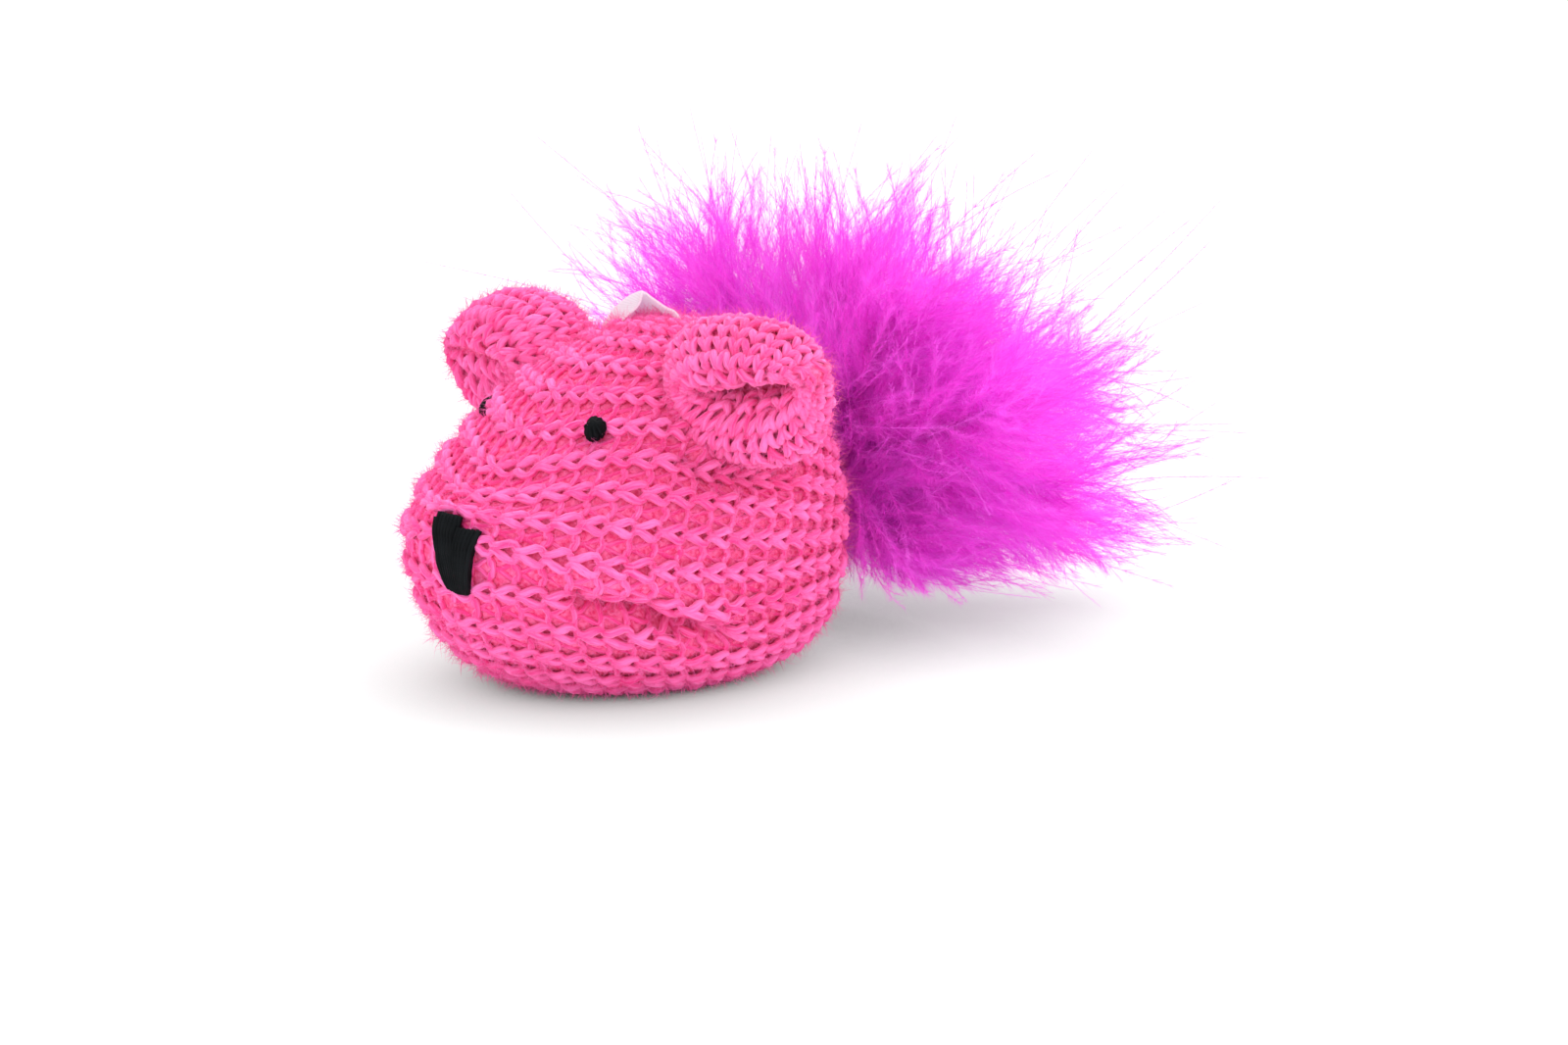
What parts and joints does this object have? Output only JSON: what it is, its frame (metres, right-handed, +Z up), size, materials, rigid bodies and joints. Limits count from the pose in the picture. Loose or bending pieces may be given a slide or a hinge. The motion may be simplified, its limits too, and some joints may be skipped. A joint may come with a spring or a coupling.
{
  "type": "stuffed knitted catnip toy",
  "caption": "Stuffed rib-knit animal head with round ears, sewn nose and eyes, and a marabou feather tail; a small catnip-filled toy for a cat to bat and carry.",
  "frame": {"origin": "in the plane of the flat belly that the toy rests on, under the middle of the head", "axes": "+Z up, -Y towards the nose, +Y along the tail, +X towards the animal's left ear"},
  "size_m": [0.0844, 0.1338, 0.0602],
  "materials": {
    "pink_knit": "matte",
    "magenta_down": "matte",
    "black_thread": "matte",
    "pink_thread": "matte",
    "white_fibre": "matte",
    "dried_leaf": "matte",
    "white_ribbon": "satin"
  },
  "bodies": {
    "head": {"knit_body": "pink_knit", "stuffing_front": "white_fibre", "stuffing_rear": "white_fibre", "catnip_leaf": "dried_leaf", "nose": "black_thread", "eye_left": "black_thread", "eye_right": "black_thread", "ear_seam_left": "pink_thread", "ear_seam_right": "pink_thread"},
    "ear_left": {"ear_left": "pink_knit"},
    "ear_right": {"ear_right": "pink_knit"},
    "label": {"care_label": "white_ribbon"},
    "tail_gather": {"gather_thread": "pink_thread"},
    "tail": {"quill_binding": "pink_thread", "feather_01": "magenta_down", "feather_02": "magenta_down", "feather_03": "magenta_down", "feather_04": "magenta_down", "feather_05": "magenta_down", "feather_06": "magenta_down", "feather_07": "magenta_down", "feather_08": "magenta_down", "feather_09": "magenta_down", "feather_10": "magenta_down", "feather_11": "magenta_down", "feather_12": "magenta_down", "feather_13": "magenta_down", "feather_14": "magenta_down", "feather_15": "magenta_down", "feather_16": "magenta_down", "feather_17": "magenta_down", "feather_18": "magenta_down", "feather_19": "magenta_down", "feather_20": "magenta_down"}
  },
  "joints": [
    {"name": "ear_left_fold", "type": "hinge", "parent": "head", "child": "ear_left", "pos_m": [0.01966, 0.00112, 0.03948], "axis": [-0.6828, -0.0041, 0.7306], "range_deg": [-10, 15], "stiffness_Nm_per_rad": 0.002},
    {"name": "ear_right_fold", "type": "hinge", "parent": "head", "child": "ear_right", "pos_m": [-0.01966, 0.00112, 0.03948], "axis": [-0.6828, 0.0041, -0.7306], "range_deg": [-10, 15], "stiffness_Nm_per_rad": 0.002},
    {"name": "label_flip", "type": "hinge", "parent": "head", "child": "label", "pos_m": [-0.0025, 0.00527, 0.04865], "axis": [0.8746, -0.4848, 0], "range_deg": [-12, 15], "stiffness_Nm_per_rad": 0.000006},
    {"name": "tail_swing", "type": "hinge", "parent": "head", "child": "tail_gather", "pos_m": [0, 0.026, 0.02178], "axis": [0, 0, 1], "range_deg": [-16, 16], "stiffness_Nm_per_rad": 0.05},
    {"name": "tail_lift", "type": "hinge", "parent": "tail_gather", "child": "tail", "pos_m": [0, 0.026, 0.02178], "axis": [1, 0, 0], "range_deg": [-2, 16], "stiffness_Nm_per_rad": 0.05}
  ]
}
